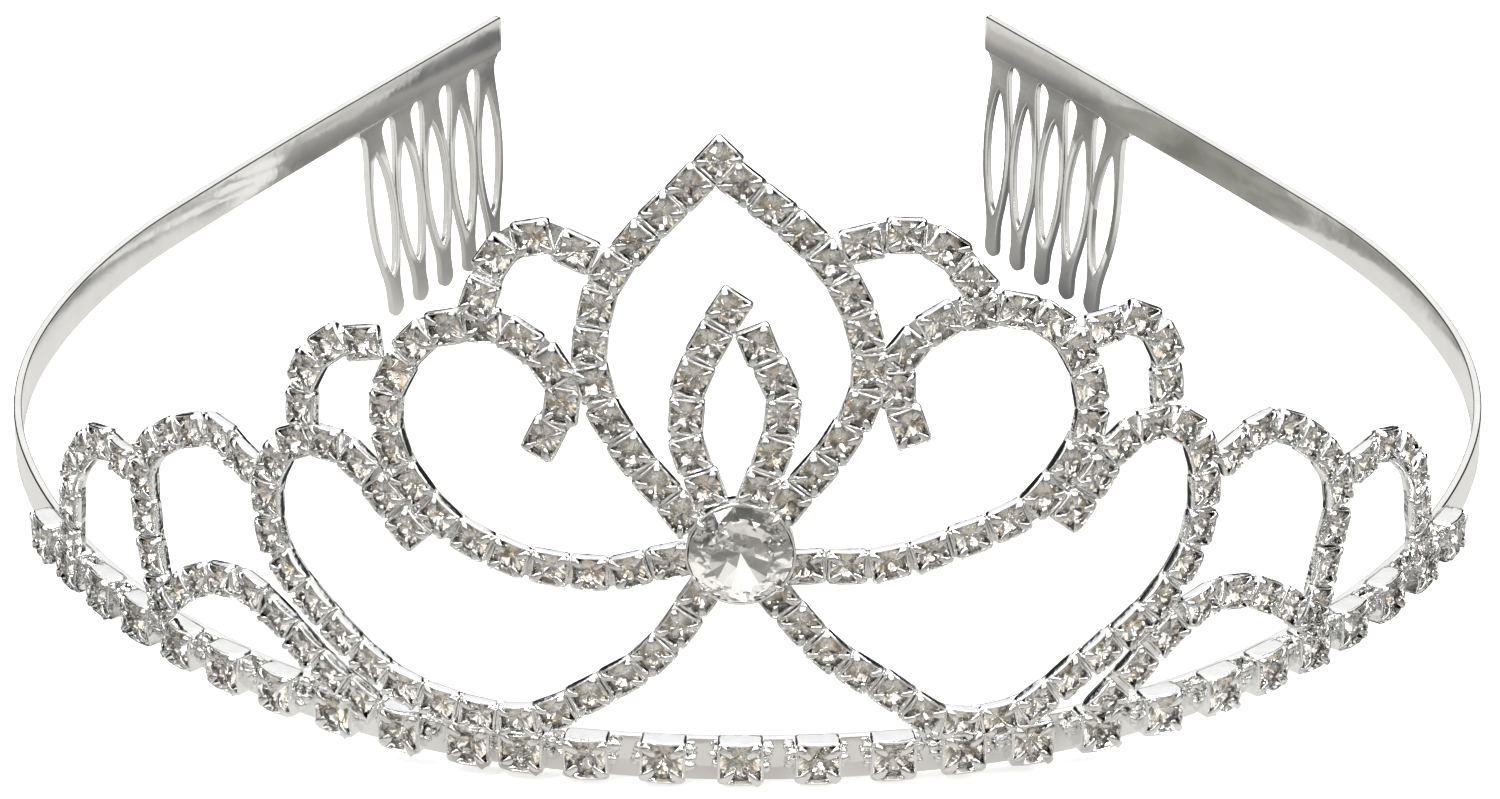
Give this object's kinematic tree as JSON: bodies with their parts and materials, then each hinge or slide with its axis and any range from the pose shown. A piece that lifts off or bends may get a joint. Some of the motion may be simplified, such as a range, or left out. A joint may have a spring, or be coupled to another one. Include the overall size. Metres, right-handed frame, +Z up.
{
  "type": "mini tiara",
  "caption": "Silver tiara headband with two slotted hair combs, a row of square-set crystals round its front and pierced crystal scrollwork with a large round centre stone.",
  "frame": {"origin": "on the surface it rests on, under the middle of its outline", "axes": "+Z up, -Y towards the front with the scrollwork, +X to the right seen from the front"},
  "size_m": [0.141, 0.1646, 0.0601],
  "materials": {
    "silver_plate": "polished silver-coloured plating",
    "crystal": "foil-backed faceted glass, seen as bright facets and not through",
    "centre_crystal": "foil-backed faceted round glass stone"
  },
  "bodies": {
    "root": {"tiara_frame": "silver_plate", "centre_stone": "centre_crystal", "base_stone_01": "crystal", "base_stone_02": "crystal", "base_stone_03": "crystal", "base_stone_04": "crystal", "base_stone_05": "crystal", "base_stone_06": "crystal", "base_stone_07": "crystal", "base_stone_08": "crystal", "base_stone_09": "crystal", "base_stone_10": "crystal", "base_stone_11": "crystal", "base_stone_12": "crystal", "base_stone_13": "crystal", "base_stone_14": "crystal", "base_stone_15": "crystal", "base_stone_16": "crystal", "base_stone_17": "crystal", "base_stone_18": "crystal", "base_stone_19": "crystal", "base_stone_20": "crystal", "base_stone_21": "crystal", "base_stone_22": "crystal", "base_stone_23": "crystal", "base_stone_24": "crystal", "base_stone_25": "crystal", "base_stone_26": "crystal", "base_stone_27": "crystal"}
  },
  "joints": []
}
